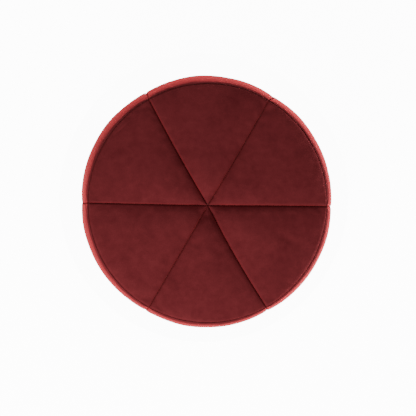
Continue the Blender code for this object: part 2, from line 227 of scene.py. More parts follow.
def mottleGroup():
    # patches of pile that lie one way or the other, broad ones with small ones over them
    tree, given, out = newTree("softMottle", {"Broad": 20.0, "Small": 90.0, "Sharpness": 2.0}, ["Mask"])
    place = node(tree, "TexCoord").outputs["Object"]
    look = mottleLook
    broad = node(tree, "TexNoise", {"Vector": place, "Scale": given["Broad"], **look["broad"]})
    small = node(tree, "TexNoise", {"Vector": place, "Scale": given["Small"], **look["small"]})
    broadPart = calc(tree, "MULTIPLY", broad.outputs[0], look["broadShare"])
    smallPart = calc(tree, "MULTIPLY", small.outputs[0], 1 - look["broadShare"])
    aboutMiddle = calc(tree, "SUBTRACT", calc(tree, "ADD", broadPart, smallPart), 0.5)
    steep = calc(tree, "MULTIPLY_ADD", aboutMiddle, given["Sharpness"], 0.5)
    limited = node(tree, "Clamp", {"Value": steep})
    tree.links.new(limited.outputs[0], out["Mask"])
    return tree


def grainGroup():
    # fine fibres or pores: a height and a mask at one scale
    tree, given, out = newTree("fineGrain", {"Scale": 2000.0, "Stretch": allRound}, ["Mask", "Height"])
    place = node(tree, "TexCoord").outputs["Object"]
    drawn = node(tree, "VectorMath", {0: place, 1: given["Stretch"]}, operation="MULTIPLY").outputs[0]
    specks = node(tree, "TexNoise", {"Vector": drawn, "Scale": given["Scale"], "Detail": 3.0})
    cells = node(tree, "TexVoronoi", {"Vector": drawn, "Scale": given["Scale"]})
    height = calc(tree, "MULTIPLY_ADD", cells.outputs["Distance"], -0.6, specks.outputs[0])
    tree.links.new(specks.outputs[0], out["Mask"])
    tree.links.new(height, out["Height"])
    return tree


def weaveGroup():
    # over and under: two sets of threads that cross on the piece's UV map, which is in metres
    tree, given, out = newTree("plainWeave", {"Pitch": 0.0008, "Slant": 0.0}, ["Mask", "Height"])
    place = node(tree, "UVMap", uv_map="cloth").outputs[0]
    split = node(tree, "SeparateXYZ", {0: place})
    rate = calc(tree, "DIVIDE", pi, given["Pitch"])
    across = calc(tree, "MULTIPLY", split.outputs[0], rate)
    slanted = calc(tree, "MULTIPLY_ADD", split.outputs[0], given["Slant"], split.outputs[1])
    along = calc(tree, "MULTIPLY", slanted, rate)
    warp = calc(tree, "ABSOLUTE", calc(tree, "SINE", across))
    weft = calc(tree, "ABSOLUTE", calc(tree, "SINE", along))
    halfAcross = calc(tree, "SINE", calc(tree, "MULTIPLY", across, 0.5))
    halfAlong = calc(tree, "SINE", calc(tree, "MULTIPLY", along, 0.5))
    turnOver = calc(tree, "GREATER_THAN", calc(tree, "MULTIPLY", halfAcross, halfAlong), 0.0)
    picked = node(tree, "Mix", {0: turnOver, 2: warp, 3: weft}, data_type="FLOAT")
    tree.links.new(picked.outputs[0], out["Height"])
    tree.links.new(turnOver, out["Mask"])
    return tree


mottle, grain, weave = mottleGroup(), grainGroup(), weaveGroup()


def group(tree, source, **inputs):
    made = tree.nodes.new("ShaderNodeGroup")
    made.node_tree = source
    for label, value in inputs.items():
        made.inputs[label].default_value = value
    return made.outputs


def blendColour(tree, share, first, second, mode="MIX"):
    made = node(tree, "Mix", {0: share}, data_type="RGBA", blend_type=mode)
    for socket, value in ((6, first), (7, second)):
        if isinstance(value, bpy.types.NodeSocket):
            tree.links.new(value, made.inputs[socket])
        else:
            made.inputs[socket].default_value = (*value, 1.0)
    return made.outputs[2]


def newFinish(name, **constants):
    finish = bpy.data.materials.new(name)
    finish.use_nodes = True
    shader = finish.node_tree.nodes["Principled BSDF"]
    for label, value in constants.items():
        shader.inputs[label.replace("_", " ")].default_value = value
    return finish, finish.node_tree, shader


def bump(tree, shader, height, distance, strength, under=None):
    made = node(tree, "Bump", {"Height": height, "Distance": distance, "Strength": strength})
    if under:
        tree.links.new(under, made.inputs["Normal"])
    tree.links.new(made.outputs[0], shader.inputs["Normal"])
    return made.outputs[0]


velvetLook = {
    "deep": (0.104, 0.0124, 0.0154),
    "worn": (0.152, 0.0208, 0.0244),
    "edge": (0.880, 0.0500, 0.0640),  # painted sheen: the bright pink the colour turns to where the cloth is seen from the side
    "paintedSheenPower": 4.1,
    # painted shade: the dark colour mixed in along the seams, where shade falls
    "seam": (0.040, 0.003, 0.004),
    "sheen": 0.30,
    "sheenRoughness": 0.38,
    "sheenTint": (1.0, 0.12, 0.12, 1.0),
    "specular": 0.06,
    "patches": {"Broad": 17.0, "Small": 75.0, "Sharpness": 2.4},
    "pile": 1500.0,
    "flecks": (0.80, 1.18),  # how dark and how light single tips are
    "roughness": (0.82, 0.98),
    "layBump": (0.0020, 0.22),  # distance and strength
    "pileBump": (0.0004, 0.35),
}


def velvetFinish():
    look = velvetLook
    finish, tree, shader = newFinish(
        "velvet",
        Sheen_Weight=look["sheen"],
        Sheen_Roughness=look["sheenRoughness"],
        Sheen_Tint=look["sheenTint"],
        Specular_IOR_Level=look["specular"],
    )
    patches = group(tree, mottle, **look["patches"])
    fibres = group(tree, grain, Scale=look["pile"])
    cloth = blendColour(tree, patches["Mask"], look["deep"], look["worn"])
    flecks = ranged(tree, fibres["Mask"], *look["flecks"], start=0.3, end=0.7)
    flecked = blendColour(tree, 1.0, cloth, flecks, "MULTIPLY")
    # painted sheen: the colour is mixed towards the bright edge colour as the surface turns away from the
    # view
    aslant = node(tree, "LayerWeight", {"Blend": 0.5}).outputs["Facing"]
    lit = blendColour(tree, calc(tree, "POWER", aslant, look["paintedSheenPower"]), flecked, look["edge"])
    # painted shade: darker towards the seams, following the seamShade attribute
    paintedSeamShade = node(tree, "Attribute", attribute_name="seamShade").outputs["Fac"]
    shaded = blendColour(tree, paintedSeamShade, lit, look["seam"])
    tree.links.new(shaded, shader.inputs["Base Color"])
    tree.links.new(ranged(tree, fibres["Mask"], *look["roughness"]), shader.inputs["Roughness"])
    lay = bump(tree, shader, patches["Mask"], *look["layBump"])
    bump(tree, shader, fibres["Height"], *look["pileBump"], lay)
    return finish


wovenLook = {
    "sheenRoughness": 0.5,
    "specular": 0.12,
    "patches": {"Broad": 12.0, "Small": 260.0, "Sharpness": 1.6},
    "paintedThreadShade": (0.45, 1.1),  # painted shade between the threads and painted light on top of them
    "faded": (0.82, 1.12),
    "roughness": (0.78, 0.95),
    "bump": (0.35, 0.7),  # distance, as a share of the pitch, and strength
}

wovenCloths = {  # deep and light colour, pitch of the threads, slant of the weave and sheen
    "base_cloth": ((0.024, 0.0045, 0.006), (0.050, 0.010, 0.013), 0.0007, 0.0, 0.3),
    "zip_tape": ((0.032, 0.005, 0.007), (0.060, 0.011, 0.013), 0.0005, 1.0, 0.2),
    "calico": ((0.52, 0.46, 0.36), (0.70, 0.64, 0.53), 0.0006, 0.0, 0.2),
}


def wovenFinish(name, deep, light, pitch, slant, sheen):
    look = wovenLook
    finish, tree, shader = newFinish(
        name,
        Sheen_Weight=sheen,
        Sheen_Roughness=look["sheenRoughness"],
        Sheen_Tint=[channel / max(light) for channel in light] + [1.0],
        Specular_IOR_Level=look["specular"],
    )
    threads = group(tree, weave, Pitch=pitch, Slant=slant)
    patches = group(tree, mottle, **look["patches"])
    crossing = blendColour(tree, threads["Mask"], deep, light)
    # painted shade in the dips between threads and painted light on their crowns
    paintedThreadShade = ranged(tree, threads["Height"], *look["paintedThreadShade"])
    shaded = blendColour(tree, 1.0, crossing, paintedThreadShade, "MULTIPLY")
    faded = ranged(tree, patches["Mask"], *look["faded"])
    tree.links.new(blendColour(tree, 1.0, shaded, faded, "MULTIPLY"), shader.inputs["Base Color"])
    tree.links.new(ranged(tree, patches["Mask"], *look["roughness"]), shader.inputs["Roughness"])
    distance, strength = look["bump"]
    bump(tree, shader, threads["Height"], pitch * distance, strength)
    return finish


fibreLook = {
    "specular": 0.25,
    "patches": {"Broad": 14.0, "Small": 120.0, "Sharpness": 1.8},
    "strandShare": 0.6,  # of the strands in the colour, the rest being the patches
    "bumpStrength": 0.6,
}

fibreStuffs = {  # deep and light colour, scale and stretch of the grain, roughness and depth
    "sewing_thread": ((0.040, 0.004, 0.006), (0.085, 0.012, 0.014), 2500.0, allRound, 0.7, 0.00008),
    "zip_coil": ((0.050, 0.007, 0.009), (0.085, 0.014, 0.016), 1500.0, allRound, 0.42, 0.00002),
    "wadding": ((0.72, 0.72, 0.70), (0.88, 0.88, 0.86), 260.0, (1.0, 3.0, 1.0), 0.9, 0.0008),
    "foam": ((0.66, 0.58, 0.34), (0.80, 0.74, 0.48), 700.0, allRound, 0.88, 0.0005),
    "tie_cord": ((0.36, 0.30, 0.21), (0.52, 0.45, 0.34), 1300.0, (1.0, 1.0, 0.35), 0.8, 0.0002),
    "washer": ((0.035, 0.035, 0.036), (0.065, 0.065, 0.066), 1800.0, allRound, 0.5, 0.00004),
}


def fibreFinish(name, deep, light, scale, stretch, roughness, depth):
    # thread, wadding, foam and plastic: one grain at its own scale and stretch
    look = fibreLook
    finish, tree, shader = newFinish(name, Specular_IOR_Level=look["specular"])
    strands = group(tree, grain, Scale=scale, Stretch=stretch)
    patches = group(tree, mottle, **look["patches"])
    strandPart = calc(tree, "MULTIPLY", strands["Mask"], look["strandShare"])
    both = calc(tree, "MULTIPLY_ADD", patches["Mask"], 1 - look["strandShare"], strandPart)
    tree.links.new(blendColour(tree, both, deep, light), shader.inputs["Base Color"])
    dullness = ranged(tree, strands["Mask"], roughness - 0.1, min(roughness + 0.1, 1.0))
    tree.links.new(dullness, shader.inputs["Roughness"])
    bump(tree, shader, strands["Height"], depth, look["bumpStrength"])
    return finish


metalLook = {
    "dull": (0.23, 0.215, 0.20),
    "bright": (0.52, 0.50, 0.47),
    "drawn": {"Scale": 2200.0, "Stretch": (0.12, 1.0, 1.0)},
    "patches": {"Broad": 180.0, "Small": 900.0, "Sharpness": 2.2},
    "roughness": (0.22, 0.46),
    "bump": (0.00003, 0.4),
}


def metalFinish():
    look = metalLook
    finish, tree, shader = newFinish("zip_metal", Metallic=1.0)
    drawn = group(tree, grain, **look["drawn"])
    patches = group(tree, mottle, **look["patches"])
    tone = blendColour(tree, patches["Mask"], look["dull"], look["bright"])
    tree.links.new(tone, shader.inputs["Base Color"])
    tree.links.new(ranged(tree, drawn["Mask"], *look["roughness"]), shader.inputs["Roughness"])
    bump(tree, shader, drawn["Height"], *look["bump"])
    return finish


finishes = {"velvet": velvetFinish(), "zip_metal": metalFinish()}
for name, look in wovenCloths.items():
    finishes[name] = wovenFinish(name, *look)
for name, look in fibreStuffs.items():
    finishes[name] = fibreFinish(name, *look)
print("materials made:", len(finishes))


def gridSheet(name, cells, crowd):
    # a flat grid, and how far across and along each point is, with the cells closing up towards the edges
    only()
    bpy.ops.mesh.primitive_grid_add(x_subdivisions=cells[0], y_subdivisions=cells[1], size=1)
    sheet = bpy.context.object
    sheet.name = name
    share = pointsOf(sheet)[:, :2] + 0.5
    share = (1 - crowd) * share + crowd * (1 - np.cos(pi * share)) / 2
    writeValue(sheet, "across", share[:, 0])
    writeValue(sheet, "along", share[:, 1])
    return sheet, share[:, 0], share[:, 1]


air = {"quality": 5, "mass": 0.3, "frames": 20}


def inflate(sheet, held, cloth):
    # air pressure swells the cloth between its held points, and no point moves further than the cap
    before = pointsOf(sheet)
    holding = sheet.vertex_groups.new(name="held")
    for index in np.flatnonzero(held):
        holding.add([int(index)], 1.0, "REPLACE")
    only(sheet)
    step = sheet.modifiers.new("cloth", "CLOTH")
    settings = step.settings
    settings.quality = air["quality"]
    settings.mass = air["mass"]
    settings.use_pressure = True
    settings.uniform_pressure_force = cloth["pressure"]
    settings.effector_weights.gravity = 0.0
    settings.shrink_min = cloth["shrink"]
    settings.vertex_group_mass = "held"
    settings.bending_stiffness = cloth["bending"]
    step.collision_settings.use_collision = False
    step.point_cache.frame_start, step.point_cache.frame_end = 1, air["frames"]
    for count in range(1, air["frames"] + 1):
        bpy.context.scene.frame_set(count)
    bpy.ops.object.modifier_apply(modifier=step.name)
    bpy.context.scene.frame_set(1)
    moved = pointsOf(sheet) - before
    length = np.linalg.norm(moved, axis=1, keepdims=True)
    cap = cloth["cap"]
    limited = moved * cap * np.tanh(length / cap) / np.maximum(length, 1e-9)
    movePoints(sheet, before + limited)
    sheet.vertex_groups.clear()
    return float(length.max())


def turnIn(sheet, depth, inward, steps=2):
    # the seam allowance: the border drawn inwards, away from the outside
    edit(sheet, "EDGE")
    bpy.ops.mesh.select_non_manifold()
    for count in range(steps):
        old = len(sheet.data.vertices)
        extrude(0, 0, 0)
        bpy.ops.object.mode_set(mode="OBJECT")
        spots = pointsOf(sheet)
        spots[old:] += inward(spots[old:]) * depth / steps
        movePoints(sheet, spots)
        bpy.ops.object.mode_set(mode="EDIT")
    done()


def writeUv(thing, across, along):
    # the piece's own map, in metres of cloth
    layer = thing.data.uv_layers.active or thing.data.uv_layers.new(name="cloth")
    layer.name = "cloth"
    corner = np.empty(len(thing.data.loops), np.int32)
    thing.data.loops.foreach_get("vertex_index", corner)
    layer.data.foreach_set("uv", np.column_stack((across[corner], along[corner])).astype(np.float32).ravel())


def sheetUv(sheet, width, height):
    writeUv(sheet, readValue(sheet, "across") * width, readValue(sheet, "along") * height)


def thicken(sheet, thickness):
    apply(sheet, "SOLIDIFY", thickness=thickness, offset=-1.0, use_rim=True)
    smooth(sheet)


def rolled(distance, width, depth):
    # the drop of cloth that rounds over into a seam
    share = np.clip(1 - distance / width, 0, 1)
    return depth * (1 - np.sqrt(1 - share**2))


seamShadeWidth = 0.0011


def nearLine(distance):
    return bell(distance, seamShadeWidth)


def grown(sheet, name, held, cloth):
    # the sheet with the air in it and twice as fine, and how far across and along each point is
    print(f"{name}: cloth swelled {inflate(sheet, held, cloth) * 1000:.1f} mm")
    subdivide(sheet)
    across, along = (np.clip(readValue(sheet, label), 0, 1) for label in ("across", "along"))
    return pointsOf(sheet), across, along


def onEdge(share):
    return (share < 0.001) | (share > 0.999)


def unevenness(look, nearest, lumpSpots, puckerSpots, seed):
    # lumps all over, and puckers beside the seams
    height, size = look["lumps"]
    lumps = height * rough(lumpSpots, size, seed)
    height, size, reach = look["puckers"]
    puckers = height * rough(puckerSpots, size, seed + 10) * bell(nearest, reach)
    return (lumps + puckers) * np.clip(nearest / look["smoothBorder"], 0, 1)


def velvetPiece(sheet, name, look, size, inward):
    # what every piece of the cover gets once it has its shape
    sheetUv(sheet, *size)
    turnIn(sheet, look["allowance"], inward)
    thicken(sheet, look["velvet"])
    dress(sheet, "velvet", "pouf", name)


wedge = {
    "cells": (48, 44),
    "crowd": 0.72,
    "dome": 0.0068,  # rise from the rim to the middle
    "rimRise": 0.0020,  # of the cloth above the seam round the rim
    "dimple": 0.0142,
    "dimpleWidth": 0.034,
    "crown": 0.0092,  # swell of a wedge above its seams
    "startCrown": 0.84,  # share of that swell before the air goes in
    "cloth": {"pressure": 4.0, "shrink": -0.004, "bending": 2.0, "cap": 0.0024},
    "valleys": (  # along each radial seam: depth, width on its clockwise and on its other side, and the painted shade in it
        (0.0036, 0.014, 0.006, 0.60), (0.0020, 0.011, 0.009, 0.40), (0.0032, 0.004, 0.014, 0.60),
        (0.0018, 0.004, 0.014, 0.35), (0.0018, 0.006, 0.012, 0.30), (0.0028, 0.012, 0.005, 0.40),
    ),
    "roll": (0.0034, 0.0022),  # width and depth of the tight turn into every radial seam
    "bows": (0.0003, -0.0006, 0.0018, 0.0, 0.0, -0.0032),  # sideways, halfway along each seam
    "rim": (0.0058, 0.0032),
    "rimShade": 0.85,  # painted shade in the seam round the rim
    "velvet": 0.0013,
    "allowance": 0.0030,
    "tip": 0.0035,  # share of the way out at which a wedge starts
    "heldTip": 0.06,  # share of the way out that the tie holds down
    "knot": 0.020,  # the allowance is shallower this near the tie's knot
    "smoothBorder": 0.012,  # no lumps this near a seam
    "lumps": (0.0007, 0.045),  # height and size
    "puckers": (0.0007, 0.011, 0.014),  # height, size, and how far they reach from a seam
    "creases": (  # a short second fold beside the rim, and a soft wrinkle: degrees and radius of each end
        {"piece": 3, "from": (133.5, 0.2175), "to": (145.5, 0.2235), "width": 0.0013, "depth": 0.0012},
        {"piece": 6, "from": (-21.8, 0.133), "to": (-25.6, 0.199), "width": 0.0085, "depth": 0.0016},
        {"piece": 3, "from": (128.0, 0.213), "to": (126.5, 0.226), "width": 0.0022, "depth": 0.0005},
        {"piece": 6, "from": (-44.0, 0.210), "to": (-45.0, 0.226), "width": 0.0022, "depth": 0.0006},
        {"piece": 5, "from": (256.0, 0.214), "to": (255.0, 0.227), "width": 0.0026, "depth": 0.0005},
    ),
}


def topPlan(number, across, along):
    # plan position of a wedge's point: on the ray from the meeting point to the rim
    turns = pouf["seamTurns"] + (pouf["seamTurns"][0] + 360,)
    first, last = radians(turns[number]), radians(turns[number + 1])
    reach = pouf["seamRadius"] - pouf["gap"] / 2
    inset = np.minimum(pouf["gap"] / 2 / (np.maximum(along, 1e-4) * reach * (last - first)), 0.12)
    share = inset + (1 - 2 * inset) * across
    turn = first + (last - first) * share
    meeting = np.array(pouf["meeting"])
    rim = np.column_stack((np.cos(turn), np.sin(turn))) * reach
    plan = meeting + (rim - meeting) * along[:, None]
    bows = wedge["bows"] + wedge["bows"][:1]
    bow = (bows[number] * (1 - share) + bows[number + 1] * share) * np.sin(pi * along)
    return plan + np.column_stack((-np.sin(turn), np.cos(turn))) * bow[:, None]


def topHeight(across, along, crown):
    reach = pouf["seamRadius"]
    dimple = wedge["dimple"] * bell(along * reach, wedge["dimpleWidth"])
    seam = pouf["topSeam"] + wedge["rimRise"] + wedge["dome"] * (1 - along**2) - dimple
    return seam + crown * np.sin(pi * across) ** 0.8 * np.sin(pi * np.clip(along, 0, 1) ** 0.85) ** 0.8


def crease(spots, fold):
    ends = []
    for turn, radius in (fold["from"], fold["to"]):
        ends.append(np.array((cos(radians(turn)), sin(radians(turn)))) * radius)
    run = ends[1] - ends[0]
    share = np.clip((spots[:, :2] - ends[0]) @ run / (run @ run), 0, 1)
    away = np.linalg.norm(spots[:, :2] - ends[0] - share[:, None] * run, axis=1)
    fade = np.sin(pi * np.clip(share, 0.02, 0.98)) ** 0.6
    return fold["depth"] * bell(away, fold["width"]) * fade


def seamFade(along):
    # the valleys run out at the meeting point and at the rim
    return np.clip(along / 0.12, 0.2, 1) * (1 - 0.55 * np.clip((along - 0.93) / 0.07, 0, 1) ** 2)


def seamDrop(number, distance, side, along):
    depth, *widths = wedge["valleys"][number % 6][:3]
    share = np.clip(1 - distance / widths[side], 0, 1)
    return (depth * share**2 + rolled(distance, *wedge["roll"])) * seamFade(along)


def downFromTop(border):
    # straight down, and less so near the tip, where the tie's knot is
    away = np.linalg.norm(border[:, :2] - pouf["meeting"], axis=1)
    return np.outer(np.clip(away / wedge["knot"], 0.15, 1), (0.0, 0.0, -1.0))


def topWedge(number):
    name = f"top_wedge_{number + 1}"
    sheet, across, along = gridSheet(name + "_velvet", wedge["cells"], wedge["crowd"])
    along = wedge["tip"] + (1 - wedge["tip"]) * along
    writeValue(sheet, "along", along)
    crown = wedge["crown"] * wedge["startCrown"]
    plan = topPlan(number, across, along)
    movePoints(sheet, np.column_stack((plan, topHeight(across, along, crown))))
    edit(sheet)
    selectAll()
    bpy.ops.mesh.flip_normals()  # outside up
    done()
    held = onEdge(across) | (along > 0.999) | (along < wedge["heldTip"])
    spots, across, along = grown(sheet, name, held, wedge["cloth"])
    chord = 2 * pouf["seamRadius"] * sin(pi / 6) * along
    fromFirst, fromLast = across * chord, (1 - across) * chord
    fromRim = (1 - along) * pouf["seamRadius"]
    firstDrop, lastDrop = seamDrop(number, fromFirst, 1, along), seamDrop(number + 1, fromLast, 0, along)
    rimDrop = rolled(fromRim, *wedge["rim"])
    spots[:, 2] -= np.maximum(np.maximum(firstDrop, lastDrop), rimDrop)
    shades = wedge["valleys"] + wedge["valleys"][:1]
    # painted shade along the seams, deeper towards the middle, and round the rim
    dark = np.maximum(shades[number][3] * nearLine(fromFirst), shades[number + 1][3] * nearLine(fromLast))
    dark = np.maximum(dark * (1.25 - 0.75 * along), wedge["rimShade"] * nearLine(fromRim))
    nearest = np.minimum(np.minimum(fromFirst, fromLast), fromRim)
    flat = spots * (1, 1, 0)
    spots[:, 2] += unevenness(wedge, nearest, spots, flat, number + 1)
    for fold in wedge["creases"]:
        if fold["piece"] == number + 1:
            spots[:, 2] -= crease(spots, fold)
    movePoints(sheet, spots)
    writeValue(sheet, "seamShade", dark)
    velvetPiece(sheet, name, wedge, (pouf["seamRadius"], pouf["seamRadius"]), downFromTop)


panel = {
    "cells": (48, 56),
    "crowd": 0.72,
    "pull": 0.0020,  # how much less the wall swells along a side seam
    "startSwell": 0.95,
    "cloth": {"pressure": 4.0, "shrink": -0.003, "bending": 2.0, "cap": 0.0020},
    "seam": (0.0040, 0.0030),
    "rim": (0.0024, 0.0016),
    "drift": 0.3,  # share of the height in which a side seam leaves the line of its top seam
    "velvet": 0.0013,
    "allowance": 0.0030,
    "smoothBorder": 0.012,
    "lumps": (0.0009, 0.06),
    "puckers": (0.0008, 0.012, 0.016),
    "seamShade": 0.5,
}


def wallPoint(number, across, along, swell):
    # along runs from the top seam, 0, to the base seam, 1
    turns, middles = pouf["seamTurns"], pouf["wallTurns"]
    ends = []
    for k in (number, number + 1):
        around = 360 * (k // 6)
        drift = eased(along / panel["drift"])
        ends.append(np.radians(around + turns[k % 6] + (middles[k % 6] - turns[k % 6]) * drift))
    inset = pouf["gap"] / 2 / (pouf["seamRadius"] * (ends[1] - ends[0]))
    turn = ends[0] + (ends[1] - ends[0]) * (inset + (1 - 2 * inset) * across)
    tilt = pi / 2 - pi * along
    half = (pouf["topSeam"] - pouf["baseSeam"]) / 2
    bulge = pouf["wallRadius"] - pouf["seamRadius"] - pouf["gap"] / 2
    pull = panel["pull"] * (1 - np.sin(pi * across)) * np.minimum(1, 3 * np.cos(tilt))
    radius = pouf["seamRadius"] + pouf["gap"] / 2 + bulge * swell * np.cos(tilt) - pull * swell
    height = (pouf["topSeam"] + pouf["baseSeam"]) / 2 + half * np.sin(tilt)
    return np.column_stack((radius * np.cos(turn), radius * np.sin(turn), height))


def wallNormal(spots):
    # square to the wall, outwards
    half = (pouf["topSeam"] - pouf["baseSeam"]) / 2
    bulge = pouf["wallRadius"] - pouf["seamRadius"]
    radius = np.linalg.norm(spots[:, :2], axis=1)
    out = np.clip(radius - pouf["seamRadius"], 0, bulge) / bulge**2
    up = (spots[:, 2] - (pouf["topSeam"] + pouf["baseSeam"]) / 2) / half**2
    facing = np.column_stack((spots[:, 0] / radius * out, spots[:, 1] / radius * out, up))
    return facing / np.linalg.norm(facing, axis=1, keepdims=True)


def sidePanel(number):
    name = f"side_panel_{number + 1}"
    sheet, across, along = gridSheet(name + "_velvet", panel["cells"], panel["crowd"])
    swell = panel["startSwell"]
    movePoints(sheet, wallPoint(number, across, 1 - along, swell))
    spots, across, along = grown(sheet, name, onEdge(across) | onEdge(along), panel["cloth"])
    width, height = pouf["seamRadius"] * pi / 3, pouf["topSeam"] - pouf["baseSeam"]
    fromSeam = np.minimum(across, 1 - across) * width
    tilt = pi * np.minimum(along, 1 - along)
    bulge = pouf["wallRadius"] - pouf["seamRadius"]
    fromRim = np.hypot(bulge * np.sin(tilt), height / 2 * (1 - np.cos(tilt)))
    drop = np.maximum(rolled(fromSeam, *panel["seam"]), rolled(fromRim, *panel["rim"]))
    nearest = np.minimum(fromSeam, fromRim)
    lift = unevenness(panel, nearest, spots, spots, number + 21)
    movePoints(sheet, spots + wallNormal(spots) * (lift - drop)[:, None])
    # painted shade along the side seams and the rims
    writeValue(sheet, "seamShade", panel["seamShade"] * nearLine(nearest))
    velvetPiece(sheet, name, panel, (width, height), lambda border: -wallNormal(border))


for number in range(6):
    topWedge(number)
for number in range(6):
    sidePanel(number)
print("velvet cover made")


base = {
    "cells": (80, 36),
    "crowd": 0.6,
    "lift": 0.020,  # the cloth turns up to the rim over this width
    "rise": 0.004,  # and up to the zip in the middle
    "ramp": 0.035,
    "slot": 0.005,  # half the width of the zip's opening
    "slotEnd": 0.177,
    "slotFade": 0.022,
    "cloth": 0.0009,
    "hem": 0.0028,
    "corner": 1.2,  # degrees left free at each end of the zip
    "smoothBorder": 0.012,
    "ripple": (0.0004, 0.018, 0.06),  # height, size, and how far from the zip
}


def slotEdge(x):
    closing = eased((np.abs(x) - base["slotEnd"]) / base["slotFade"])
    return base["slot"] * (1 - closing) + pouf["gap"] / 2 * closing


def baseHeight(x, y):
    endFade = np.minimum(1, np.clip(1 - np.abs(x) / pouf["seamRadius"], 0, 1) * 5)
    ramp = np.clip(1 - np.abs(y) / base["ramp"], 0, 1) * endFade
    lift = np.clip(np.hypot(x, y) - pouf["seamRadius"] + base["lift"], 0, None) / base["lift"]
    return np.maximum(base["rise"] * ramp, pouf["baseSeam"] * lift**2)


def baseHalf(name, turn):
    sheet, across, along = gridSheet(name + "_cloth", base["cells"], base["crowd"])
    reach = pouf["seamRadius"] - pouf["gap"] / 2
    corner = radians(base["corner"])
    angle = corner + (pi - 2 * corner) * across
    x = reach * np.cos(angle)
    start = slotEdge(x)
    y = start + (reach * np.sin(angle) - start) * along
    inside = np.clip(np.minimum(y - start, reach - np.hypot(x, y)) / base["smoothBorder"], 0, 1)
    ripple, size, nearZip = base["ripple"]
    ripple = ripple * rough(np.column_stack((x, y, 0 * x)), size, 41 + turn) * inside * (y < nearZip)
    height = baseHeight(x, y) + np.abs(ripple)
    side = 1 - 2 * turn
    movePoints(sheet, np.column_stack((x * side, y * side, height)))
    subdivide(sheet)
    sheetUv(sheet, 2 * reach, reach)
    turnIn(sheet, base["hem"], lambda border: np.tile((0.0, 0.0, 1.0), (len(border), 1)))
    thicken(sheet, base["cloth"])
    dress(sheet, "base_cloth", "pouf", name)


baseHalf("base_half_back", 0)
baseHalf("base_half_front", 1)
print("base cloth made")


stitch = {
    "pitch": 0.0031,
    "length": 0.0025,
    "radius": 0.00028,
    "slant": 9.0,
    "tips": ((0.17, 0.25, 0.85), (0.08, 0.55, 0.5)),  # length, dip and width of each step, as shares
}


def stitchShape():
    # one stitch along X: a short bar whose ends dip into the cloth
    only()
    bpy.ops.mesh.primitive_cylinder_add(
        vertices=6, radius=stitch["radius"], depth=stitch["length"] * 0.5, rotation=(0, radians(90), 0)
    )
    bar = bpy.context.object
    settle(bar)
    edit(bar)
    for end in (-1, 1):
        for reach, dip, width in stitch["tips"]:
            selectFaces(bar, lambda middle, normal: normal.x * end > 0.5)
            extrude(end * stitch["length"] * reach, 0, -stitch["radius"] * dip)
            bpy.ops.transform.resize(value=(1, width, width))
    done()
    return bar


oneStitch = stitchShape()


def repeated(name, template, places):
    # copies of one shape, each turned and moved by its own matrix, in one mesh
    spots = pointsOf(template)
    faces = [tuple(face.vertices) for face in template.data.polygons]
    turned = np.array([np.array(place) for place in places])
    every = np.einsum("kij,nj->kni", turned[:, :3, :3], spots) + turned[:, None, :3, 3]
    allFaces = []
    for count in range(len(places)):
        allFaces += [tuple(index + count * len(spots) for index in face) for face in faces]
    data = bpy.data.meshes.new(name)
    data.from_pydata(every.reshape(-1, 3).tolist(), [], allFaces)
    thing = bpy.data.objects.new(name, data)
    bpy.context.collection.objects.link(thing)
    smooth(thing, 50)
    return thing


def seamRow(path, outward, pitch, slant):
    # a matrix for each stitch along a run of points
    steps = np.linalg.norm(np.diff(path, axis=0), axis=1)
    travelled = np.concatenate(([0], np.cumsum(steps)))
    count = max(1, int(travelled[-1] / pitch))
    places = []

    def at(distance, values):
        return Vector([np.interp(distance, travelled, values[:, i]) for i in range(3)])

    for k in range(count):
        middle = (k + 0.5) * travelled[-1] / count
        spot = at(middle, path)
        out = at(middle, outward).normalized()
        along = (at(middle + pitch / 2, path) - at(middle - pitch / 2, path)).normalized()
        side = out.cross(along).normalized()
        out = along.cross(side)
        along = Matrix.Rotation(radians(slant), 3, out) @ along
        side = out.cross(along)
        turn = Matrix((along, side, out)).transposed().to_4x4()
        places.append(Matrix.Translation(spot) @ turn)
    return places


def sewn(name, runs, slant=None):
    places = []
    for path, outward in runs:
        places += seamRow(path, outward, stitch["pitch"], stitch["slant"] if slant is None else slant)
    row = repeated(name + "_stitches", oneStitch, places)
    return dress(row, "sewing_thread", "pouf", name)


seamRuns = {
    "top": (0.07, 0.975),  # shares of the way out where the top stitches start and end
    "side": (0.06, 0.94),  # and of the way down
    "topSink": 0.5,  # share of the roll's depth that a top seam's stitches lie at
    "sideSink": 0.55,
    "rimSink": 0.0006,
    "baseSink": 0.0004,
    "zip": 0.170,  # half length of the rows beside the zip
    "fromSlot": 0.004,
}


def facing(path, up):
    return np.tile((0.0, 0.0, up), (len(path), 1))


def topSeamRun(number):
    along = np.linspace(*seamRuns["top"], 60)
    plan = topPlan(number, 0 * along, along)
    spread = topPlan((number + 5) % 6, 0 * along + 1, along)
    depth = wedge["valleys"][number][0] + seamRuns["topSink"] * wedge["roll"][1]
    height = topHeight(0 * along, along, 0.0) - depth * seamFade(along)
    path = np.column_stack(((plan + spread) / 2, height))
    return path, facing(path, 1.0)


def rimRun(height, up):
    turns = np.linspace(0, 2 * pi, 241)
    radius = pouf["seamRadius"]
    path = np.column_stack((radius * np.cos(turns), radius * np.sin(turns), 0 * turns + height))
    return path, facing(path, up)


def sideSeamRun(number):
    along = np.linspace(*seamRuns["side"], 80)
    first = wallPoint(number, 0 * along, along, 1.0)
    last = wallPoint((number + 5) % 6, 0 * along + 1, along, 1.0)
    normal = wallNormal(first)
    return (first + last) / 2 - normal * panel["seam"][1] * seamRuns["sideSink"], normal


def zipRun(side):
    x = np.linspace(-seamRuns["zip"], seamRuns["zip"], 90)
    y = 0 * x + (base["slot"] + seamRuns["fromSlot"]) * side
    path = np.column_stack((x, y, baseHeight(x, y) - 0.0001))
    return path, facing(path, -1.0)


